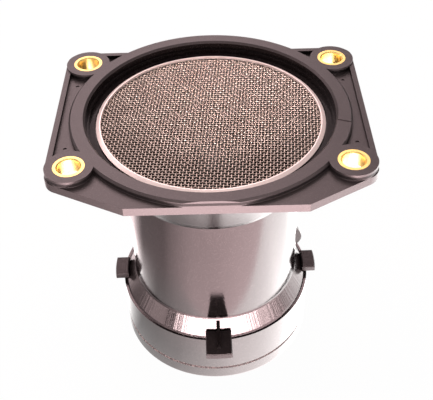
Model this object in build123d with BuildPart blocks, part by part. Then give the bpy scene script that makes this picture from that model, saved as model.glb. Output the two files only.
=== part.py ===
"""Mass airflow sensor: a moulded duct with an inlet flange, a wire screen and a plug-in sensor module.

Millimetres, +Z up. The part stands on its outlet end: the origin lies on the duct's axis, in the plane
of the outlet end, and air comes in at the top. -Y is the front, and the sensor module sits at the back.
"""
import os
from math import cos, radians, sin, sqrt

from build123d import *

os.makedirs("parts", exist_ok=True)

# Duct heights, stacked from the outlet end
collar_height = 21.0
cone_height = 6.0
tube_height = 41.5
flare_height = 19.4
plate_thickness = 2.6
ring_rise = 2.0

# Duct radii and walls
tube_r = 28.4
tube_wall = 2.5
collar_r = 33.0
collar_wall = 2.8
collar_ledge = 0.8
flare_wall = 3.3
foot_chamfer = 0.6
cone_fillet = 1.2
groove_height = 5.7
groove_width = 1.0
groove_depth = 0.6

# Inlet ring and the seat of the screen
ring_r = 43.0
ring_width = 4.9
ring_edge = 0.6
front_trim = 0.7
step_depth = 2.6
step_width = 0.8
seat_depth = 4.0
seat_border = 1.8
screen_land = 2.3
seat_clearance = 0.1
gate_angle = -18.0
gate_width = 9.6
gate_depth = 0.25

# Bolt bosses, flange rim and pin marks
bolt_x = 80.0
bolt_y = 52.8
boss_r = 7.0
bush_r = 4.55
bush_bore_r = 3.3
bush_edge = 0.35
bush_seam_clearance = 0.02
left_slant = 26.6
right_slant = 30.0
corner_round = 5.0
rim_width = 1.6
rim_rise = 1.4
pin_mark_r = 0.55
pin_mark_depth = 0.25
pin_mark_out = 2.6
pin_mark_in = 10.4

# Stop tabs round the collar
tab_turn = 1.2
tab_width = 8.6
tab_thickness = 2.0
tab_rise = 3.2
tab_edge = 0.3
tab_web_step = 1.2  # from the collar's wall in to the web below a tab
tab_inset = 1.6
tab_overhang = 2.9
front_tab_overhang = 8.4
rib_thickness = 1.2
rib_drop = 0.6
rib_setback = 2.6
rib_lip = 0.4
fin_thickness = 1.2
fin_foot = 8.4
fin_length = 8.6
fin_swell = 1.9
fin_swell_height = 2.9

# Inlet screen: crossed wires at a coarse pitch, clamped by a sheet ring
wire = 0.4
wire_bite = 0.1
mesh_pitch = 5.7
mesh_turn = -4.7
mesh_margin = 1.4
clamp_play = 0.3
clamp_width = 1.4
clamp_thickness = 0.75
clamp_edge = 0.15
clamp_land = 0.3

# Sensor pad on the back of the duct
pad_standoff = 4.6
pad_width = 46.0
pad_height = 26.0
pad_corner = 7.0
module_rise = 25.0
plug_r = 11.8
plug_clearance = 0.2
screw_inset = 4.0
screw_r = 1.9
screw_depth = 9.0
screw_fit = 0.05
head_r = 3.4
head_height = 2.4
head_round = 0.8
head_gap = 0.6
recess_r = 1.5
recess_depth = 1.3

# Sensor module
flange_thickness = 3.5
seal_groove_depth = 1.6
seal_gap = 0.02
seal_play = 0.44
seal_offset = 2.0
probe_width = 9.0
probe_margin = 0.8
probe_reach = 5.0
probe_round = 3.0
channel_wall = 1.8
channel_length = 9.0
channel_end_wall = 2.2
tray_margin = 1.0
tray_depth = 10.0
tray_wall = 1.8
tray_corner = 2.5
board_ledge = 1.3
board_thickness = 1.2
lid_thickness = 1.6
lid_lip = 1.2
lid_lip_depth = 2.0
fit_clearance = 0.15
socket_margin = 1.7
shroud_length = 16.0
shroud_wall = 1.6
socket_floor = 3.0
latch_width = 5.0
latch_length = 4.0
latch_rise = 1.4

# Sensing elements and connector terminals
prong_r = 0.35
prong_length = 5.0
prong_seat = 2.0
prong_fit = 0.03
element_r = 0.6
element_length = 2.6
element_spacing = 8.0
terminal_count = 4
terminal_pitch = 3.6
terminal_width = 1.6
terminal_thickness = 0.8
terminal_reach = 8.0
terminal_lap = 1.2
terminal_fit = 0.03

# Heights and radii that follow from the sizes above
cone_top = collar_height + cone_height
flare_bottom = cone_top + tube_height
plate_bottom = flare_bottom + flare_height
plate_top = plate_bottom + plate_thickness
top = plate_top + ring_rise
bore_r = tube_r - tube_wall
outlet_bore_r = collar_r - collar_wall
ring_bore_r = ring_r - ring_width
step_r = ring_bore_r - step_width
screen_r = step_r - seat_border
seat_r = screen_r + seat_clearance
screen_thickness = 2 * wire - wire_bite
seat_floor = top - seat_depth
screen_floor = seat_floor - screen_thickness
mouth_r = screen_r - screen_land
flare_r = mouth_r + flare_wall
side_x = bolt_x / 2 + boss_r
back_y = bolt_y / 2 + boss_r
front_y = ring_r - front_trim
pin_mark_x = bolt_x / 2 + pin_mark_out
pin_mark_y = bolt_y / 2 - pin_mark_in
tab_height = collar_height + tab_rise
tab_inner_r = collar_r - tab_inset
tab_reach = collar_r + tab_overhang
front_tab_reach = collar_r + front_tab_overhang
pad_reach = tube_r + pad_standoff
module_height = cone_top + module_rise
screw_spacing = pad_width - 2 * screw_inset
seal_bore_r = plug_r + plug_clearance

bolt_spots = {
    "bushing_front_left": (-bolt_x / 2, -bolt_y / 2),
    "bushing_front_right": (bolt_x / 2, -bolt_y / 2),
    "bushing_back_left": (-bolt_x / 2, bolt_y / 2),
    "bushing_back_right": (bolt_x / 2, bolt_y / 2),
}


def finish(builder, name):
    """Label a finished piece and write it as its own STEP file."""
    builder.part.label = name
    export_step(builder.part, f"parts/{name}.step")


def flange_outline(inset):
    """Sketch of the flange plate: two slanted front corners, tangent to the bosses, and round back ones."""
    corners = []
    for side, slant in ((-1, left_slant), (1, right_slant)):
        across = sin(radians(slant))
        along = cos(radians(slant))
        front_x = bolt_x / 2 + (boss_r - along * (front_y - bolt_y / 2)) / across
        corner_y = bolt_y / 2 + boss_r * (1 - across) / along
        corners.append([(side * front_x, -front_y), (side * side_x, -corner_y), (side * side_x, back_y)])
    with BuildSketch() as outline:
        with BuildLine():
            Polyline(*corners[0], *reversed(corners[1]), close=True)
        make_face()
        sides = outline.vertices().group_by(Axis.X)
        fillet(sides[0] + sides[-1], corner_round)
        if inset > 0:
            offset(amount=-inset, mode=Mode.REPLACE)
    return outline.sketch


# Duct as one moulding: the outside is turned first, and the bore is cut last through all that joins it
with BuildPart() as housing:
    with BuildSketch(Plane.XZ) as profile:
        with BuildLine():
            Polyline(
                (0, 0),
                (collar_r - foot_chamfer, 0),
                (collar_r, foot_chamfer),
                (collar_r, groove_height - groove_width / 2),
                (collar_r - groove_depth, groove_height),
                (collar_r, groove_height + groove_width / 2),
                (collar_r, collar_height),
                (collar_r - collar_ledge, collar_height),
                (tube_r, cone_top),
                (tube_r, flare_bottom),
                (flare_r, plate_bottom),
                (ring_r, plate_bottom),
                (ring_r, top - ring_edge),
                (ring_r - ring_edge, top),
                (0, top),
                close=True,
            )
        make_face()
        fillet(profile.vertices().sort_by_distance((tube_r, cone_top))[0], cone_fillet)
    revolve(axis=Axis.Z)

    # Flange plate round the ring, with its raised rim along the sides and the back
    with BuildSketch(Plane.XY.offset(plate_bottom)):
        add(flange_outline(0))
    extrude(amount=plate_thickness)
    with BuildSketch(Plane.XY.offset(plate_top)):
        add(flange_outline(0))
        add(flange_outline(rim_width), mode=Mode.SUBTRACT)
        with Locations((0, -bolt_y / 2)):
            Rectangle(3 * side_x, front_y, align=(Align.CENTER, Align.MAX), mode=Mode.SUBTRACT)
    extrude(amount=rim_rise)

    # Bolt bosses, level with the ring, bored for the pressed bushings
    with BuildSketch(Plane.XY.offset(plate_bottom)):
        with Locations(*bolt_spots.values()):
            Circle(boss_r)
    extrude(amount=plate_thickness + ring_rise)
    with Locations(*[(x, y, top) for x, y in bolt_spots.values()]):
        Hole(bush_r + bush_seam_clearance, plate_thickness + ring_rise)

    # Ring and plate share one flat front; the gate leaves a shallow flat on the ring
    with BuildSketch(Plane.XY.offset(plate_bottom)):
        with Locations((0, -front_y)):
            Rectangle(2 * ring_r, ring_r, align=(Align.CENTER, Align.MAX))
    extrude(amount=plate_thickness + ring_rise, mode=Mode.SUBTRACT)
    with BuildSketch(Plane.XY.offset(top)):
        with PolarLocations(ring_r - ring_width / 2, 1, start_angle=gate_angle):
            Rectangle(2 * ring_width, gate_width)
    extrude(amount=-gate_depth, mode=Mode.SUBTRACT)
    with Locations((0, 0, plate_top)):
        with GridLocations(2 * pin_mark_x, 2 * pin_mark_y, 2, 2):
            Hole(pin_mark_r, pin_mark_depth)

    # Stop tabs at the four quarters of the collar: blocks on its rim that reach out past it
    for angle, reach in ((-90, front_tab_reach), (0, tab_reach), (90, tab_reach), (180, tab_reach)):
        turned = radians(angle + tab_turn)
        radial = Plane((0, 0, tab_height), x_dir=(cos(turned), sin(turned), 0), z_dir=(0, 0, 1))
        with BuildPart(mode=Mode.PRIVATE) as tab:
            for outer_r, thickness in ((reach, tab_thickness), (collar_r - tab_web_step, tab_rise)):
                with BuildSketch(radial):
                    Rectangle(reach, tab_width, align=(Align.MIN, Align.CENTER))
                    Circle(outer_r, mode=Mode.INTERSECT)
                    Circle(tab_inner_r, mode=Mode.SUBTRACT)
                extrude(amount=-thickness)
            chamfer(tab.faces().sort_by(Axis.Z)[-1].edges(), tab_edge)
        add(tab.part)

    # Stiffening rib from the cone down to the front tab, and the short upright fin over the right one
    turn = radians(tab_turn)
    front_plane = Plane((0, 0, 0), x_dir=(sin(turn), -cos(turn), 0), z_dir=(-cos(turn), -sin(turn), 0))
    with BuildSketch(front_plane):
        with BuildLine():
            rib_end = front_tab_reach - rib_setback
            Polyline(
                (bore_r, cone_top - rib_drop),
                (tube_r, cone_top - rib_drop),
                (rib_end, tab_height + rib_lip),
                (rib_end, tab_height - tab_thickness / 2),
                (bore_r, tab_height - tab_thickness / 2),
                close=True,
            )
        make_face()
    extrude(amount=rib_thickness / 2, both=True)
    with BuildSketch(Plane.XZ):
        with BuildLine():
            fin_bottom = tab_height + fin_foot
            fin_top = fin_bottom + fin_length
            Polyline((tube_r, fin_bottom), (bore_r, fin_bottom), (bore_r, fin_top), (tube_r, fin_top))
            fin_bulge = (tube_r + fin_swell, fin_bottom + fin_swell_height)
            Spline((tube_r, fin_bottom), fin_bulge, (tube_r, fin_top))
        make_face()
    extrude(amount=fin_thickness / 2, both=True)

    # Sensor pad on the back wall
    pad_plane = Plane((0, pad_reach, module_height), x_dir=(-1, 0, 0), z_dir=(0, 1, 0))
    with BuildSketch(pad_plane):
        RectangleRounded(pad_width, pad_height, pad_corner)
    extrude(amount=-pad_reach)

    # Bore: outlet, throat, bell mouth, screen seat and the stepped inside of the ring
    bell_middle = (flare_bottom + screen_floor) / 2
    with BuildSketch(Plane.XZ):
        with BuildLine():
            Polyline(
                (0, 0),
                (outlet_bore_r, 0),
                (outlet_bore_r, collar_height - collar_ledge),
                (bore_r, cone_top),
                (bore_r, flare_bottom),
            )
            Bezier((bore_r, flare_bottom), (bore_r, bell_middle), (mouth_r, screen_floor))
            Polyline(
                (mouth_r, screen_floor),
                (seat_r, screen_floor),
                (seat_r, seat_floor),
                (step_r, seat_floor),
                (step_r, top - step_depth),
                (ring_bore_r, top - step_depth),
                (ring_bore_r, top - ring_edge),
                (ring_bore_r + ring_edge, top),
                (0, top),
                (0, 0),
            )
        make_face()
    revolve(axis=Axis.Z, mode=Mode.SUBTRACT)

    # Bore for the sensor's plug through the pad, and pilot holes for its two screws
    with BuildSketch(pad_plane):
        Circle(seal_bore_r)
    extrude(amount=-pad_reach, mode=Mode.SUBTRACT)
    with BuildSketch(pad_plane):
        with GridLocations(screw_spacing, 0, 2, 1):
            Circle(screw_r + screw_fit)
    extrude(amount=-screw_depth, mode=Mode.SUBTRACT)
finish(housing, "housing")

# Brass compression bushings, one in each boss
for name, (x, y) in bolt_spots.items():
    with BuildPart() as bushing:
        with BuildSketch(Plane((x, y, plate_bottom))):
            Circle(bush_r)
            Circle(bush_bore_r, mode=Mode.SUBTRACT)
        extrude(amount=plate_thickness + ring_rise)
        chamfer(bushing.edges().filter_by(GeomType.CIRCLE).filter_by(lambda e: e.radius < bush_r), bush_edge)
    finish(bushing, name)

# Inlet screen: wires one way over wires the other way, joined at an outer band
with BuildPart() as screen:
    wire_span = 2 * (mouth_r + mesh_margin / 2)
    wire_rows = int(wire_span / mesh_pitch)
    for level, angle in ((screen_floor, mesh_turn), (seat_floor - wire, mesh_turn + 90)):
        with BuildSketch(Plane.XY.offset(level).rotated((0, 0, angle))):
            with GridLocations(0, mesh_pitch, 1, wire_rows):
                Rectangle(2 * screen_r, 2 * wire)
            Circle(screen_r, mode=Mode.INTERSECT)
        extrude(amount=wire)
    with BuildSketch(Plane.XY.offset(screen_floor)):
        Circle(screen_r)
        Circle(mouth_r - mesh_margin, mode=Mode.SUBTRACT)
    extrude(amount=screen_thickness)
finish(screen, "inlet_screen")

# Rolled sheet ring that clamps the screen's edge on its seat and slopes down to the outside
with BuildPart() as clamp:
    clamp_r = screen_r - clamp_play
    clamp_inner_r = clamp_r - clamp_width
    with BuildSketch(Plane.XZ):
        with BuildLine():
            Polyline(
                (clamp_inner_r, seat_floor),
                (clamp_r, seat_floor),
                (clamp_r, seat_floor + clamp_edge),
                (clamp_inner_r + clamp_land, seat_floor + clamp_thickness),
                (clamp_inner_r, seat_floor + clamp_thickness),
                close=True,
            )
        make_face()
    revolve(axis=Axis.Z)
finish(clamp, "screen_clamp_ring")

# Sensor module, drawn from its seat on the pad: x to the left, y up the duct, z away from the duct
tray_width = screw_spacing - 2 * (head_r + head_gap)
tray_height = pad_height - 2 * tray_margin
inner_corner = tray_corner - tray_wall / 2
groove_floor_r = plug_r - seal_groove_depth
seal_r = (seal_bore_r - groove_floor_r) / 2 - seal_gap
seal_width = 2 * seal_r + seal_play
plug_end = sqrt(bore_r**2 - plug_r**2)
plug_length = pad_reach - plug_end
probe_chord = 2 * (plug_r - probe_margin)
probe_tip = -probe_reach
channel_width = probe_width - 2 * channel_wall
channel_near = probe_tip + channel_end_wall
channel_far = channel_near + channel_length
tray_floor = pad_reach + flange_thickness
tray_top = tray_floor + tray_depth
board_seat = tray_floor + (tray_depth - terminal_thickness) / 2 - board_thickness
shroud_top = module_height - tray_height / 2
socket_plane = Plane((0, tray_floor + tray_depth / 2, shroud_top), x_dir=(1, 0, 0), z_dir=(0, 0, -1))
prong_spacing = element_length + 2 * prong_r
prong_spots = [
    (side * prong_spacing / 2, channel_far, module_height + row * element_spacing / 2)
    for row in (-1, 1)
    for side in (-1, 1)
]
terminal_row = (terminal_count - 1) * terminal_pitch
terminal_tail = tray_wall + terminal_lap
shroud_width = terminal_row + terminal_width + 2 * (socket_margin + shroud_wall)
terminal_xs = [index * terminal_pitch - terminal_row / 2 for index in range(terminal_count)]

with BuildPart() as body:
    with BuildSketch(pad_plane):
        RectangleRounded(pad_width, pad_height, pad_corner)
        with GridLocations(screw_spacing, 0, 2, 1):
            Circle(screw_r + screw_fit, mode=Mode.SUBTRACT)
    extrude(amount=flange_thickness)

    # Round plug with its seal groove
    with BuildSketch(pad_plane):
        Circle(plug_r)
    extrude(amount=-plug_length)
    with BuildSketch(pad_plane.offset(-seal_offset)):
        Circle(seal_bore_r)
        Circle(groove_floor_r, mode=Mode.SUBTRACT)
    extrude(amount=-seal_width, mode=Mode.SUBTRACT)

    # Probe blade across the duct, with the sampling channel along the flow near its tip
    with BuildSketch(pad_plane.offset(-plug_length)):
        RectangleRounded(probe_width, probe_chord, probe_round)
    extrude(amount=-(plug_end - probe_tip))
    with BuildSketch(Plane.XY.offset(module_height - probe_chord / 2)):
        with Locations((0, channel_near)):
            Rectangle(channel_width, channel_length, align=(Align.CENTER, Align.MIN))
    extrude(amount=probe_chord, mode=Mode.SUBTRACT)

    # Electronics tray with a ledge for the board
    tray_plane = pad_plane.offset(flange_thickness)
    with BuildSketch(tray_plane):
        RectangleRounded(tray_width, tray_height, tray_corner)
    extrude(amount=tray_depth)
    with BuildSketch(pad_plane.offset(board_seat - pad_reach)):
        RectangleRounded(tray_width - 2 * tray_wall, tray_height - 2 * tray_wall, inner_corner)
    extrude(amount=tray_top - board_seat, mode=Mode.SUBTRACT)
    with BuildSketch(tray_plane):
        Rectangle(tray_width - 2 * (tray_wall + board_ledge), tray_height - 2 * (tray_wall + board_ledge))
    extrude(amount=tray_depth, mode=Mode.SUBTRACT)

    # Connector shroud below the tray, with a latch ramp on its outer side
    with BuildSketch(socket_plane):
        RectangleRounded(shroud_width, tray_depth, tray_corner)
    extrude(amount=shroud_length)
    socket_width = shroud_width - 2 * shroud_wall
    with BuildSketch(socket_plane.offset(shroud_length)):
        RectangleRounded(socket_width, tray_depth - 2 * shroud_wall, tray_corner - shroud_wall)
    extrude(amount=-(shroud_length - socket_floor), mode=Mode.SUBTRACT)
    with BuildSketch(Plane.YZ):
        with BuildLine():
            Polyline(
                (tray_top, shroud_top - shroud_length / 2 + latch_length / 2),
                (tray_top + latch_rise, shroud_top - shroud_length / 2 + latch_length / 2),
                (tray_top, shroud_top - shroud_length / 2 - latch_length / 2),
                close=True,
            )
        make_face()
    extrude(amount=latch_width / 2, both=True)

    # Seats of the prongs in the channel's outer wall and slots for the terminals
    with BuildSketch(Plane((0, channel_far, 0), x_dir=(1, 0, 0), z_dir=(0, 1, 0))):
        with Locations(*[(x, -z) for x, _, z in prong_spots]):
            Circle(prong_r + prong_fit)
    extrude(amount=prong_seat, mode=Mode.SUBTRACT)
    with BuildSketch(socket_plane.offset(socket_floor)):
        with GridLocations(terminal_pitch, 0, terminal_count, 1):
            Rectangle(terminal_width + 2 * terminal_fit, terminal_thickness + 2 * terminal_fit)
    extrude(amount=-(socket_floor + terminal_tail), mode=Mode.SUBTRACT)
finish(body, "sensor_body")

# Rubber seal ring in the plug's groove
with BuildPart() as seal:
    seal_y = pad_reach - seal_offset - seal_width / 2
    seal_middle_r = (groove_floor_r + seal_bore_r) / 2
    with BuildSketch(Plane.YZ):
        with Locations((seal_y, module_height + seal_middle_r)):
            Circle(seal_r)
    revolve(axis=Axis((0, 0, module_height), (0, 1, 0)))
finish(seal, "sensor_seal")

# Circuit board on the tray's ledge
with BuildPart() as board:
    with BuildSketch(pad_plane.offset(board_seat - pad_reach)):
        Rectangle(tray_width - 2 * (tray_wall + fit_clearance), tray_height - 2 * (tray_wall + fit_clearance))
    extrude(amount=board_thickness)
    fillet(board.edges().filter_by(Axis.Y), inner_corner)
finish(board, "circuit_board")

# Lid with a lip that drops inside the tray's wall
with BuildPart() as lid:
    lip_width = tray_width - 2 * (tray_wall + fit_clearance)
    lip_height = tray_height - 2 * (tray_wall + fit_clearance)
    lid_plane = pad_plane.offset(tray_top - pad_reach)
    with BuildSketch(lid_plane):
        RectangleRounded(tray_width, tray_height, tray_corner)
    extrude(amount=lid_thickness)
    with BuildSketch(lid_plane):
        RectangleRounded(lip_width, lip_height, inner_corner)
        Rectangle(lip_width - 2 * lid_lip, lip_height - 2 * lid_lip, mode=Mode.SUBTRACT)
    extrude(amount=-lid_lip_depth)
finish(lid, "sensor_lid")

# Heated element and air temperature element, each held between two prongs in the sampling channel
prong_tip = channel_far - prong_length
for name, row in (("air_temperature_element", 1), ("heated_element", -1)):
    with BuildPart() as element:
        element_plane = Plane(
            (-element_length / 2, prong_tip + element_r, module_height + row * element_spacing / 2),
            x_dir=(0, 1, 0),
            z_dir=(1, 0, 0),
        )
        with BuildSketch(element_plane):
            Circle(element_r)
        extrude(amount=element_length)
    finish(element, name)

with BuildPart() as prongs:
    for x, y, z in prong_spots:
        with BuildSketch(Plane((x, y + prong_seat, z), x_dir=(1, 0, 0), z_dir=(0, -1, 0))):
            Circle(prong_r)
        extrude(amount=prong_seat + prong_length)
finish(prongs, "element_prongs")

# Connector terminals, from the tray down into the socket
for index, x in enumerate(terminal_xs):
    with BuildPart() as terminal:
        with BuildSketch(socket_plane.offset(-terminal_tail)):
            with Locations((x, 0)):
                Rectangle(terminal_width, terminal_thickness)
        extrude(amount=terminal_tail + socket_floor + terminal_reach)
    finish(terminal, f"terminal_{index + 1}")

# Screws that hold the module on its pad
for name, side in (("module_screw_left", -1), ("module_screw_right", 1)):
    with BuildPart() as screw:
        seat = (side * screw_spacing / 2, tray_floor, module_height)
        screw_plane = Plane(seat, x_dir=(-1, 0, 0), z_dir=(0, 1, 0))
        with BuildSketch(screw_plane):
            Circle(screw_r)
        extrude(amount=-(flange_thickness + screw_depth))
        with BuildSketch(screw_plane):
            Circle(head_r)
        extrude(amount=head_height)
        fillet(screw.edges().filter_by(GeomType.CIRCLE).sort_by(Axis.Y)[-1], head_round)
        with BuildSketch(screw_plane.offset(head_height)):
            RegularPolygon(recess_r, 6)
        extrude(amount=-recess_depth, mode=Mode.SUBTRACT)
    finish(screw, name)
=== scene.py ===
import math

import bmesh
import bpy
from mathutils import Matrix, Vector


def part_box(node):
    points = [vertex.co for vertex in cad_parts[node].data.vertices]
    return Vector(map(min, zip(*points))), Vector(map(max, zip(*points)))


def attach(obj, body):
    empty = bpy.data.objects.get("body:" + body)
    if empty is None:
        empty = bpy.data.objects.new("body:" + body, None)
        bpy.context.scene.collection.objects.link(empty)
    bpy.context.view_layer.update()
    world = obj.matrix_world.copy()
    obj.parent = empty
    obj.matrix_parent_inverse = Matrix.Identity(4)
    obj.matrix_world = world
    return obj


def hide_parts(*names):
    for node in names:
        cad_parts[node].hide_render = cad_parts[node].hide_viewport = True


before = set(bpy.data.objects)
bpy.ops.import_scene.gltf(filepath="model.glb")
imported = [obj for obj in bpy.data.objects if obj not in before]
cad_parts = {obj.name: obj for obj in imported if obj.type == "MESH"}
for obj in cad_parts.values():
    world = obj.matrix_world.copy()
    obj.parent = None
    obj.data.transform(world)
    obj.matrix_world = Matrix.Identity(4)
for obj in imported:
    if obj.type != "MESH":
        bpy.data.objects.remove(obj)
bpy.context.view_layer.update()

# Duct housing. One moulding of black glass-filled nylon: flange, ring, flare, tube, cone, collar and tabs.
# The flange left a spark-finished mould, so it is satin. Tube, cone and collar left a polished one and mirror
# the room, with a fine sparkle from the glass fibres and faint flow streaks down the cone.


def colour(code):
    """An sRGB hex code as linear red, green, blue and alpha."""
    channels = [int(code[i:i + 2], 16) / 255 for i in (1, 3, 5)]
    return [c / 12.92 if c <= 0.04045 else ((c + 0.055) / 1.055) ** 2.4 for c in channels] + [1.0]


def add_node(tree, kind, inputs=None, **settings):
    """Add a shader node with its settings; an input is a value, or an output socket to link from."""
    node = tree.nodes.new(kind)
    for name, value in settings.items():
        setattr(node, name, value)
    for socket, value in (inputs or {}).items():
        if isinstance(value, bpy.types.NodeSocket):
            tree.links.new(value, node.inputs[socket])
        else:
            node.inputs[socket].default_value = value
    return node


def new_material(name):
    """An empty node material, its tree and its output node."""
    material = bpy.data.materials.new(name)
    material.use_nodes = True
    material.node_tree.nodes.clear()
    output = add_node(material.node_tree, "ShaderNodeOutputMaterial")
    return material, material.node_tree, output


def dress(names, material):
    """Give CAD nodes one material."""
    for name in names:
        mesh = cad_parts[name].data
        mesh.materials.clear()
        mesh.materials.append(material)


def zone(tree, *ramps):
    """Where a finish lies: 1 where all ramps are full, 0 where one is empty. A ramp: value, empty, full."""
    mask = 1.0
    for value, empty, full in ramps:
        ramp = add_node(tree, "ShaderNodeMapRange", {"Value": value, "From Min": empty, "From Max": full})
        both = add_node(tree, "ShaderNodeMath", {0: ramp.outputs[0], 1: mask}, operation="MULTIPLY")
        mask = both.outputs[0]
    return mask


def graded(tree, start, *terms):
    """A strength that starts at a value, with what each zone adds to it or takes from it."""
    for mask, amount in terms:
        step = add_node(tree, "ShaderNodeMath", {0: mask, 1: amount, 2: start}, operation="MULTIPLY_ADD")
        start = step.outputs[0]
    return start


# Heights above the outlet end, and radii from the duct's axis, where the finish changes
plate_bottom = 0.0879
rim_height = 0.0919
wall_low, wall_high = 0.0909, 0.0917
flare_low, flare_high = 0.0685, 0.0705
cone_top = 0.0270
collar_top = 0.0210
tab_top = 0.0242
groove_low, groove_high = 0.0052, 0.0062
fin_low, fin_high = 0.0315, 0.0430
foot_height = 0.0008
recess_radius = 0.0382
ring_wall_radius = 0.0422
cone_foot_radius = 0.0322
cone_slope = 0.633
fin_root_radius = 0.0287

# Widths over which one finish passes into the next
blend = 0.0006
fine_blend = 0.00015

# Grain of the skin. Real fibres are finer than a hair: their specks are drawn coarser, so that they show.
grain_size = 0.00045
fibre_size = 0.00030
speck_edge, speck_core = 0.45, 0.15
dullest_fibre, brightest_fibre = 0.5, 1.0
# Where the grain shows as the painted highlight in the groove
groove_highlight_start, groove_highlight_full = 0.45, 0.62
streak_count = 30.0
streak_height = 9.0

nylon, tree, output = new_material("black_glass_filled_nylon")
place = add_node(tree, "ShaderNodeTexCoord").outputs["Object"]
axes = add_node(tree, "ShaderNodeSeparateXYZ", {0: place}).outputs
height = axes["Z"]
flat = add_node(tree, "ShaderNodeCombineXYZ", {"X": axes["X"], "Y": axes["Y"]}).outputs[0]
radius = add_node(tree, "ShaderNodeVectorMath", {0: flat}, operation="LENGTH").outputs["Value"]
around = add_node(tree, "ShaderNodeVectorMath", {0: flat}, operation="NORMALIZE").outputs[0]
off_cone = graded(tree, radius, (height, cone_slope))
cone_face = cone_foot_radius + cone_slope * collar_top

on_flange = zone(tree, (height, plate_bottom - blend, plate_bottom))
off_flange = zone(tree, (height, plate_bottom, plate_bottom - blend))
on_flare = zone(tree, (off_flange, 0.0, 1.0), (height, flare_low, flare_high))
below_tube = zone(tree, (height, cone_top + blend, cone_top))
on_cone = zone(tree, (height, collar_top, collar_top + blend), (height, cone_top + blend, cone_top))
on_tab = zone(
    tree, (off_cone, cone_face + fine_blend, cone_face + 3 * fine_blend),
    (height, collar_top + blend / 2, collar_top + blend), (height, tab_top + blend, tab_top + blend / 2))
on_fin = zone(
    tree, (radius, fin_root_radius - fine_blend, fin_root_radius),
    (height, fin_low - blend, fin_low), (height, fin_high + blend, fin_high))
in_recess = zone(
    tree, (on_flange, 0.0, 1.0), (radius, recess_radius + fine_blend, recess_radius),
    (height, rim_height, rim_height - fine_blend))
on_ring_wall = zone(
    tree, (radius, ring_wall_radius - fine_blend, ring_wall_radius),
    (height, wall_low - fine_blend, wall_low), (height, wall_high + fine_blend, wall_high))
in_groove = zone(
    tree, (height, groove_low - fine_blend, groove_low), (height, groove_high + fine_blend, groove_high))
at_foot = zone(tree, (height, foot_height + fine_blend, foot_height))

grain = add_node(tree, "ShaderNodeTexNoise", {
    "Vector": place, "Scale": 1 / grain_size, "Detail": 3.0}).outputs["Fac"]
streaks = add_node(tree, "ShaderNodeTexNoise", {
    "Vector": around, "Scale": streak_count, "Detail": 3.0}).outputs["Fac"]
fibres = add_node(tree, "ShaderNodeTexVoronoi", {"Vector": place, "Scale": 1 / fibre_size}).outputs
fibre_pick = add_node(tree, "ShaderNodeSeparateColor", {0: fibres["Color"]}).outputs[0]
speck = zone(
    tree, (fibres["Distance"], speck_edge, speck_core), (fibre_pick, dullest_fibre, brightest_fibre))
speck_off_flange = zone(tree, (speck, 0.0, 1.0), (off_flange, 0.0, 1.0))
# Painted highlight: pale flecks over the groove, mixed into the skin's colour, stand for a bright line of
# light along it.
painted_groove_highlight = zone(tree, (in_groove, 0.0, 1.0), (grain, groove_highlight_start, groove_highlight_full))
streaks_on_cone = zone(tree, (streaks, 0.0, 1.0), (on_cone, 0.0, 1.0))

skin = add_node(tree, "ShaderNodeMix", {
    "Factor": speck, "A": colour("#1b1717"), "B": colour("#4c4545")}, data_type="RGBA")
tint = add_node(tree, "ShaderNodeMix", {
    "Factor": painted_groove_highlight, "A": skin.outputs["Result"], "B": colour("#c8b2ae")}, data_type="RGBA")
roughness = graded(
    tree, 0.05, (on_flange, 0.34), (on_flare, 0.2), (below_tube, 0.07), (on_tab, 0.3), (in_recess, -0.3),
    (in_groove, 0.3), (grain, 0.08))
# Painted shade and highlight: the shine is cut in the recess inside the ring, on the tab tops, on the ring's
# outer wall and on the fin, to darken them, and raised at the foot to paint a bright strip there. On the
# fibre specks it is raised for their sparkle.
shine_with_painted_light = graded(
    tree, 0.5, (in_recess, -0.46), (on_tab, -0.2), (on_ring_wall, -0.36), (on_fin, -0.24), (at_foot, 0.45),
    (speck_off_flange, 0.4))
relief = graded(tree, grain, (streaks_on_cone, streak_height))
bump = add_node(tree, "ShaderNodeBump", {"Height": relief, "Strength": 0.12, "Distance": 0.0002})
shader = add_node(tree, "ShaderNodeBsdfPrincipled", {
    "Base Color": tint.outputs["Result"], "Roughness": roughness, "IOR": 1.6, "Specular IOR Level": shine_with_painted_light,
    "Specular Tint": colour("#ffebec"), "Normal": bump.outputs[0]})
tree.links.new(shader.outputs[0], output.inputs[0])
dress(["housing"], nylon)

# Bolt bushings. Four sleeves turned from brass bar and pressed in the bosses, to carry the bolts' load.
# The tool leaves fine marks on the end faces, and bright metal with a warm yellow shine in the bores.
bushing_names = [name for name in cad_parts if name.startswith("bushing")]
turning_pitch = 0.00035

brass, tree, output = new_material("turned_brass")
place = add_node(tree, "ShaderNodeTexCoord").outputs["Object"]
scratches = add_node(tree, "ShaderNodeTexNoise", {"Vector": place, "Scale": 1 / turning_pitch, "Detail": 2.0})
worn = add_node(tree, "ShaderNodeMix", {
    "Factor": scratches.outputs["Fac"], "A": colour("#d9b052"), "B": colour("#f2dc9a")}, data_type="RGBA")
rough = add_node(tree, "ShaderNodeMapRange", {
    "Value": scratches.outputs["Fac"], "To Min": 0.3, "To Max": 0.48})
bump = add_node(tree, "ShaderNodeBump", {
    "Height": scratches.outputs["Fac"], "Strength": 0.1, "Distance": 0.0001})
shader = add_node(tree, "ShaderNodeBsdfPrincipled", {
    "Base Color": worn.outputs["Result"], "Metallic": 1.0, "Roughness": rough.outputs[0],
    "Normal": bump.outputs[0]})
tree.links.new(shader.outputs[0], output.inputs[0])
dress(bushing_names, brass)

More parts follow.
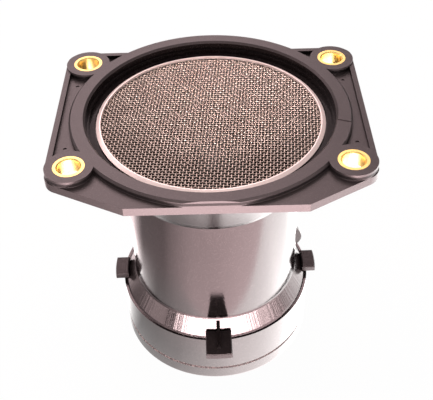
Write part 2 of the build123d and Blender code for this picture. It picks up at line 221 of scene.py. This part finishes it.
# Inlet screen. Plain-woven cloth of drawn stainless wire, cut to a disc: each wire is crimped over and
# under the wires that cross it. It lies on the ledge inside the ring and stops dirt ahead of the elements.
# The wire is smooth and warm grey, and the crowns of the crimps catch the light.
screen_low, screen_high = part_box("inlet_screen")
screen_middle = (screen_low.z + screen_high.z) / 2
wire_radius = (screen_high.z - screen_low.z) / 4
warp_pitch = 0.00099
weft_pitch = 0.00110
cloth_turn = math.radians(-4.7)
wire_sides = 6
fewest_crossings = 2
edge_margin = 0.0003
screen_radius = (screen_high.x - screen_low.x) / 2 - edge_margin
stain_size = 0.009
drawing_mark = 0.0003


def crimped_wire(crossings, step, offset, side):
    """A temporary mesh of one wire along X that waves over and under the wires across it."""
    wire = bmesh.new()
    end = Matrix.Translation((-crossings * step / 2, 0, 0)) @ Matrix.Rotation(math.radians(90), 4, "Y")
    bmesh.ops.create_circle(wire, cap_ends=True, segments=wire_sides, radius=wire_radius, matrix=end)
    bmesh.ops.spin(
        wire, geom=[*wire.verts, *wire.edges, *wire.faces], cent=(0, 0, 0), axis=(1, 0, 0), angle=0.0,
        dvec=(step / 2, 0, 0), steps=2 * crossings)
    for vert in wire.verts:
        vert.co.z += side * wire_radius * math.cos(math.pi * vert.co.x / step)
        vert.co.y += offset
    bmesh.ops.recalc_face_normals(wire, faces=wire.faces)
    mesh = bpy.data.meshes.new("single_wire")
    wire.to_mesh(mesh)
    wire.free()
    return mesh


def woven_set(name, pitch, step, turn, first_side):
    """One set of parallel wires of the cloth: their own pitch, the step between crossings and their turn."""
    cloth = bmesh.new()
    rows = int(screen_radius / pitch)
    for row in range(-rows, rows + 1):
        offset = row * pitch
        crossings = 2 * int(math.sqrt(screen_radius**2 - offset**2) / step)
        single = crimped_wire(max(crossings, fewest_crossings), step, offset, first_side * (-1) ** row)
        cloth.from_mesh(single)
        bpy.data.meshes.remove(single)
    laid = Matrix.Translation((0, 0, screen_middle)) @ Matrix.Rotation(turn, 4, "Z")
    bmesh.ops.transform(cloth, matrix=laid, verts=cloth.verts)
    for face in cloth.faces:
        face.smooth = True
    mesh = bpy.data.meshes.new(name)
    cloth.to_mesh(mesh)
    cloth.free()
    piece = bpy.data.objects.new(name, mesh)
    bpy.context.scene.collection.objects.link(piece)
    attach(piece, "root")
    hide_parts("inlet_screen")
    return piece


stainless, tree, output = new_material("drawn_stainless_wire")
place = add_node(tree, "ShaderNodeTexCoord").outputs["Object"]
stains = add_node(tree, "ShaderNodeTexNoise", {"Vector": place, "Scale": 1 / stain_size, "Detail": 3.0})
tone = add_node(tree, "ShaderNodeMix", {
    "Factor": stains.outputs["Fac"], "A": colour("#a4938a"), "B": colour("#c4b5ab")}, data_type="RGBA")
drawn = add_node(tree, "ShaderNodeTexNoise", {"Vector": place, "Scale": 1 / drawing_mark, "Detail": 1.0})
rough = add_node(tree, "ShaderNodeMapRange", {
    "Value": drawn.outputs["Fac"], "To Min": 0.19, "To Max": 0.33})
shader = add_node(tree, "ShaderNodeBsdfPrincipled", {
    "Base Color": tone.outputs["Result"], "Metallic": 1.0, "Roughness": rough.outputs[0]})
tree.links.new(shader.outputs[0], output.inputs[0])
across = cloth_turn + math.radians(90)
for name, pitch, step, turn, first_side in (
    ("screen_warp_wires", warp_pitch, weft_pitch, across, 1),
    ("screen_weft_wires", weft_pitch, warp_pitch, cloth_turn, -1),
):
    wires = woven_set(name, pitch, step, turn, first_side)
    wires.data.materials.append(stainless)

# Clamp ring. A ring rolled from aluminium sheet that holds the cloth's cut edge on its ledge.
# The sheet is satin and pale, with slight waves where it was pressed down, and slopes to the outside.
sheet_wave = 0.004

sheet, tree, output = new_material("rolled_aluminium_sheet")
place = add_node(tree, "ShaderNodeTexCoord").outputs["Object"]
waves = add_node(tree, "ShaderNodeTexNoise", {"Vector": place, "Scale": 1 / sheet_wave, "Detail": 2.0})
pale = add_node(tree, "ShaderNodeMix", {
    "Factor": waves.outputs["Fac"], "A": colour("#f6dfda"), "B": colour("#fff0ea")}, data_type="RGBA")
rough = add_node(tree, "ShaderNodeMapRange", {
    "Value": waves.outputs["Fac"], "To Min": 0.3, "To Max": 0.5})
bump = add_node(tree, "ShaderNodeBump", {
    "Height": waves.outputs["Fac"], "Strength": 0.15, "Distance": 0.0003})
shader = add_node(tree, "ShaderNodeBsdfPrincipled", {
    "Base Color": pale.outputs["Result"], "Metallic": 0.3, "Roughness": rough.outputs[0],
    "Normal": bump.outputs[0]})
tree.links.new(shader.outputs[0], output.inputs[0])
dress(["screen_clamp_ring"], sheet)

# Sensor module. Body and lid are moulded from black polyester, with the same satin skin all over.
# Two screws hold its flange on the pad, and its plug carries the probe into the air stream.
skin_grain = 0.0006

polyester, tree, output = new_material("black_moulded_polyester")
place = add_node(tree, "ShaderNodeTexCoord").outputs["Object"]
grain = add_node(tree, "ShaderNodeTexNoise", {"Vector": place, "Scale": 1 / skin_grain, "Detail": 3.0})
tint = add_node(tree, "ShaderNodeMix", {
    "Factor": grain.outputs["Fac"], "A": colour("#1c1b1c"), "B": colour("#2e2b2b")}, data_type="RGBA")
rough = add_node(tree, "ShaderNodeMapRange", {
    "Value": grain.outputs["Fac"], "To Min": 0.38, "To Max": 0.58})
bump = add_node(tree, "ShaderNodeBump", {
    "Height": grain.outputs["Fac"], "Strength": 0.2, "Distance": 0.0002})
shader = add_node(tree, "ShaderNodeBsdfPrincipled", {
    "Base Color": tint.outputs["Result"], "Roughness": rough.outputs[0], "IOR": 1.58,
    "Normal": bump.outputs[0]})
tree.links.new(shader.outputs[0], output.inputs[0])
dress(["sensor_body", "sensor_lid"], polyester)

# Seal ring. A ring moulded from black nitrile rubber, stretched into the groove of the module's plug.
# It is matt, with a slight grey bloom from storage.
bloom_size = 0.002

rubber, tree, output = new_material("nitrile_rubber")
place = add_node(tree, "ShaderNodeTexCoord").outputs["Object"]
bloom = add_node(tree, "ShaderNodeTexNoise", {"Vector": place, "Scale": 1 / bloom_size, "Detail": 4.0})
tint = add_node(tree, "ShaderNodeMix", {
    "Factor": bloom.outputs["Fac"], "A": colour("#161616"), "B": colour("#2b2b2a")}, data_type="RGBA")
rough = add_node(tree, "ShaderNodeMapRange", {
    "Value": bloom.outputs["Fac"], "To Min": 0.6, "To Max": 0.85})
shader = add_node(tree, "ShaderNodeBsdfPrincipled", {
    "Base Color": tint.outputs["Result"], "Roughness": rough.outputs[0], "IOR": 1.52})
tree.links.new(shader.outputs[0], output.inputs[0])
dress(["sensor_seal"], rubber)

# Circuit board. Glass-epoxy laminate under green solder resist, laid on the ledge of the module's tray.
# The lacquer is glossy, and the cloth inside the laminate just shows through as a fine check.
cloth_pitch = 0.0008
lacquer_cloud = 0.003

laminate, tree, output = new_material("green_solder_resist")
place = add_node(tree, "ShaderNodeTexCoord").outputs["Object"]
weave = add_node(tree, "ShaderNodeTexChecker", {
    "Vector": place, "Scale": 1 / cloth_pitch, "Color1": colour("#14502e"), "Color2": colour("#195c36")})
cloud = add_node(tree, "ShaderNodeTexNoise", {"Vector": place, "Scale": 1 / lacquer_cloud, "Detail": 2.0})
rough = add_node(tree, "ShaderNodeMapRange", {
    "Value": cloud.outputs["Fac"], "To Min": 0.25, "To Max": 0.4})
shader = add_node(tree, "ShaderNodeBsdfPrincipled", {
    "Base Color": weave.outputs["Color"], "Roughness": rough.outputs[0], "IOR": 1.55})
tree.links.new(shader.outputs[0], output.inputs[0])
dress(["circuit_board"], laminate)

# Sensing elements. A heated one and one for the air's temperature, held by prongs in the probe's channel.
# Each is a small ceramic core with a glaze fired over its winding, so it is pale and glossy.
glaze_dapple = 0.0005

ceramic, tree, output = new_material("glazed_ceramic")
place = add_node(tree, "ShaderNodeTexCoord").outputs["Object"]
glaze = add_node(tree, "ShaderNodeTexNoise", {"Vector": place, "Scale": 1 / glaze_dapple, "Detail": 2.0})
tint = add_node(tree, "ShaderNodeMix", {
    "Factor": glaze.outputs["Fac"], "A": colour("#cfcabd"), "B": colour("#e9e6dc")}, data_type="RGBA")
rough = add_node(tree, "ShaderNodeMapRange", {
    "Value": glaze.outputs["Fac"], "To Min": 0.15, "To Max": 0.3})
shader = add_node(tree, "ShaderNodeBsdfPrincipled", {
    "Base Color": tint.outputs["Result"], "Roughness": rough.outputs[0], "IOR": 1.55})
tree.links.new(shader.outputs[0], output.inputs[0])
dress(["heated_element", "air_temperature_element"], ceramic)

# Prongs, terminals and screws. Drawn steel wire, tinned brass blades and zinc-plated steel screws, pressed or
# driven into the module. They are grey metals that differ in how smooth and how warm they are.
terminal_names = ["terminal_1", "terminal_2", "terminal_3", "terminal_4"]
screw_names = ["module_screw_left", "module_screw_right"]
plating_mottle = 0.0008

for name, members, dark, light, smooth, coarse in (
    ("drawn_steel_prong", ["element_prongs"], "#8f8c88", "#b9b5b0", 0.25, 0.4),
    ("tinned_terminal", terminal_names, "#b0aca2", "#d6d2c8", 0.2, 0.38),
    ("zinc_plated_screw", screw_names, "#9a9a92", "#c6c6be", 0.28, 0.45),
):
    metal, tree, output = new_material(name)
    place = add_node(tree, "ShaderNodeTexCoord").outputs["Object"]
    mottle = add_node(tree, "ShaderNodeTexNoise", {
        "Vector": place, "Scale": 1 / plating_mottle, "Detail": 3.0})
    tint = add_node(tree, "ShaderNodeMix", {
        "Factor": mottle.outputs["Fac"], "A": colour(dark), "B": colour(light)}, data_type="RGBA")
    rough = add_node(tree, "ShaderNodeMapRange", {
        "Value": mottle.outputs["Fac"], "To Min": smooth, "To Max": coarse})
    shader = add_node(tree, "ShaderNodeBsdfPrincipled", {
        "Base Color": tint.outputs["Result"], "Metallic": 1.0, "Roughness": rough.outputs[0]})
    tree.links.new(shader.outputs[0], output.inputs[0])
    dress(members, metal)

# Stage. A wide white paper floor, plain white to the camera, that keeps the object's shadow.
# To glossy rays alone it glows brighter than white, as a painted reflection: most to the right of the object
# and in front, less and pinker past the edge of that bright patch; inside the outlet it is left unlit, as
# painted shade.
floor_half = 4.0
outlet_radius = 0.0302
outlet_blend = 0.0001
patch_edge = 0.0495
patch_edge_blend = 0.001
left_side_start, left_side_full = 0.042, 0.070
strip_start = 0.108
strip_blend = 0.004
strip_half_full, strip_half_end = 0.06, 0.14
strip_glow = 9.5
white_share = 0.975

# Brightness of the painted reflection in the gloss, at bearings in degrees from the front towards the right
glow_peak = 8.0
near_glow = (
    (-180, 1.5), (-144, 3.6), (-120, 7.0), (-96, 2.5), (-70, 0.8), (-50, 1.3), (-30, 2.3), (15, 7.0),
    (72, 7.4), (95, 5.5), (122, 5.0), (136, 2.6), (147, 0.7), (180, 0.7))
far_glow = (
    (-180, 1.0), (-144, 0.8), (-120, 2.8), (-96, 0.5), (-60, 1.0), (-24, 4.1), (24, 5.7), (140, 5.8),
    (180, 1.0))

floor_shape = bmesh.new()
bmesh.ops.create_grid(floor_shape, x_segments=1, y_segments=1, size=floor_half)
floor_mesh = bpy.data.meshes.new("studio_floor")
floor_shape.to_mesh(floor_mesh)
floor_shape.free()
floor = bpy.data.objects.new("studio_floor", floor_mesh)
bpy.context.scene.collection.objects.link(floor)

paper, tree, output = new_material("white_paper_floor")
rays = add_node(tree, "ShaderNodeLightPath").outputs
spot = add_node(tree, "ShaderNodeTexCoord").outputs["Object"]
axes = add_node(tree, "ShaderNodeSeparateXYZ", {0: spot}).outputs
ahead = add_node(tree, "ShaderNodeMath", {0: axes["Y"], 1: -1.0}, operation="MULTIPLY").outputs[0]
sideways = add_node(tree, "ShaderNodeMath", {0: axes["X"]}, operation="ABSOLUTE").outputs[0]
reach = add_node(tree, "ShaderNodeVectorMath", {0: spot}, operation="LENGTH").outputs["Value"]
bearing = add_node(tree, "ShaderNodeMath", {0: axes["X"], 1: ahead}, operation="ARCTAN2").outputs[0]
turn = zone(tree, (bearing, -math.pi, math.pi))
past_edge = zone(tree, (ahead, patch_edge - patch_edge_blend, patch_edge + patch_edge_blend))
far_left = zone(
    tree, (reach, left_side_start, left_side_full), (axes["X"], 0.0, -patch_edge_blend))
far = add_node(tree, "ShaderNodeMath", {0: past_edge, 1: far_left}, operation="MAXIMUM").outputs[0]
front_strip = zone(
    tree, (ahead, strip_start - strip_blend, strip_start + strip_blend),
    (sideways, strip_half_end, strip_half_full))

round_glow = []
for knots in (near_glow, far_glow):
    ramp = add_node(tree, "ShaderNodeValToRGB", {"Fac": turn})
    stops = ramp.color_ramp.elements
    stops.remove(stops[1])
    stops[0].position = 0.0
    for index, (angle, brightness) in enumerate(knots):
        stop = stops[0] if index == 0 else stops.new(angle / 360 + 0.5)
        stop.color = [brightness / glow_peak] * 3 + [1.0]
    round_glow.append(ramp.outputs["Color"])
level = add_node(tree, "ShaderNodeMix", {
    "Factor": far, "A": round_glow[0], "B": round_glow[1]}, data_type="RGBA").outputs["Result"]
level = graded(tree, 0.0, (level, glow_peak), (front_strip, strip_glow))
strength = add_node(tree, "ShaderNodeMix", {
    "Factor": rays["Is Glossy Ray"], "A": 1.0, "B": level}, data_type="FLOAT").outputs[0]
mirrored_tint = add_node(tree, "ShaderNodeMix", {
    "Factor": far, "A": colour("#fffdfc"), "B": colour("#ffebec")}, data_type="RGBA").outputs["Result"]
glow_tint = add_node(tree, "ShaderNodeMix", {
    "Factor": rays["Is Glossy Ray"], "A": colour("#ffffff"), "B": mirrored_tint}, data_type="RGBA")

seen = add_node(tree, "ShaderNodeMath", {
    0: rays["Is Camera Ray"], 1: rays["Is Glossy Ray"]}, operation="MAXIMUM").outputs[0]
seen = add_node(tree, "ShaderNodeMath", {
    0: seen, 1: rays["Is Transmission Ray"]}, operation="MAXIMUM").outputs[0]
# Painted shade: inside the outlet the floor neither glows nor shows white, so its mirror image there is dark.
open_floor = zone(tree, (seen, 0.0, 1.0), (reach, outlet_radius, outlet_radius + outlet_blend))
white = graded(tree, 0.0, (open_floor, white_share))
matt = add_node(tree, "ShaderNodeBsdfDiffuse", {"Color": colour("#f6f5f5")})
glow = add_node(tree, "ShaderNodeEmission", {"Color": glow_tint.outputs["Result"], "Strength": strength})
both = add_node(tree, "ShaderNodeMixShader", {0: white, 1: matt.outputs[0], 2: glow.outputs[0]})
tree.links.new(both.outputs[0], output.inputs[0])
floor.data.materials.append(paper)

# Studio air. Where the camera looks past the floor it sees plain white.
# The object gets a soft, slightly warm fill from all round.
world = bpy.data.worlds.new("studio_air")
bpy.context.scene.world = world
world.use_nodes = True
tree = world.node_tree
tree.nodes.clear()
output = add_node(tree, "ShaderNodeOutputWorld")
rays = add_node(tree, "ShaderNodeLightPath")
fill = add_node(tree, "ShaderNodeBackground", {"Color": colour("#fff4f4"), "Strength": 0.36})
white = add_node(tree, "ShaderNodeBackground", {"Color": colour("#ffffff"), "Strength": 1.0})
both = add_node(tree, "ShaderNodeMixShader", {
    0: rays.outputs["Is Camera Ray"], 1: fill.outputs[0], 2: white.outputs[0]})
tree.links.new(both.outputs[0], output.inputs[0])

# Softboxes. Four large lamps behind cloth: a strong one at the left, a weak one at the right, one overhead,
# and one high at the back that lays a satin shine on the flange and the screen.


def soft_lamp(name, place, aim, width, depth, radiance, tint):
    """A rectangular softbox at a place that faces a point, with its brightness as seen in a mirror."""
    lamp = bpy.data.lights.new(name, "AREA")
    lamp.shape = "RECTANGLE"
    lamp.size = width
    lamp.size_y = depth
    lamp.energy = radiance * math.pi * width * depth
    lamp.color = colour(tint)[:3]
    holder = bpy.data.objects.new(name, lamp)
    holder.location = place
    holder.rotation_euler = (Vector(aim) - Vector(place)).to_track_quat("-Z", "Y").to_euler()
    holder.visible_camera = False
    bpy.context.scene.collection.objects.link(holder)
    return holder


object_middle = (0.0, 0.0, 0.05)
for name, place, width, depth, radiance, tint in (
    ("left_softbox", (-0.6, -0.1, 0.12), 0.7, 0.24, 3.2, "#fff0f0"),
    ("right_softbox", (0.6, -0.1, 0.12), 0.7, 0.24, 0.8, "#fff0f0"),
    ("overhead_softbox", (0.05, 0.15, 0.9), 0.6, 0.6, 2.6, "#fff2f0"),
    ("back_softbox", (-0.30, 0.60, 0.72), 1.1, 0.5, 4.1, "#ffeaec"),
):
    soft_lamp(name, place, object_middle, width, depth, radiance, tint)

# Strip lights. A long thin lamp in front and a short, weaker one to its right.
# They give no light to matt surfaces and show only as the white shine on the cone.
cone_middle = (0.0, 0.0, 0.024)
strip_depth = 0.15
for name, place, width, radiance in (
    ("front_strip", (0.01, -0.55, 0.15), 0.94, 38.0),
    ("right_front_strip", (0.55, -0.32, 0.15), 0.32, 15.0),
):
    strip = soft_lamp(name, place, cone_middle, width, strip_depth, radiance, "#fff2f2")
    strip.visible_diffuse = False

# Camera. It stands close in front of the object and well above it, at the photograph's angle.
# The horizon has the photograph's slight tilt.
camera_place = (0.00217, -0.19790, 0.23472)
camera_elevation = math.radians(42.338)
camera_turn = math.radians(0.316)
camera_roll = math.radians(-1.598)
camera_lens = 66.11

camera_data = bpy.data.cameras.new("photo_camera")
camera_data.sensor_width = 36.0
camera_data.lens = camera_lens
camera_data.clip_start = 0.01
camera_data.clip_end = 20.0
camera = bpy.data.objects.new("photo_camera", camera_data)
tilt = Matrix.Rotation(math.radians(90) - camera_elevation, 4, "X")
camera.matrix_world = (
    Matrix.Translation(camera_place)
    @ Matrix.Rotation(camera_turn, 4, "Z")
    @ tilt
    @ Matrix.Rotation(camera_roll, 4, "Z"))
bpy.context.scene.collection.objects.link(camera)
bpy.context.scene.camera = camera
bpy.context.scene.view_settings.view_transform = "Standard"
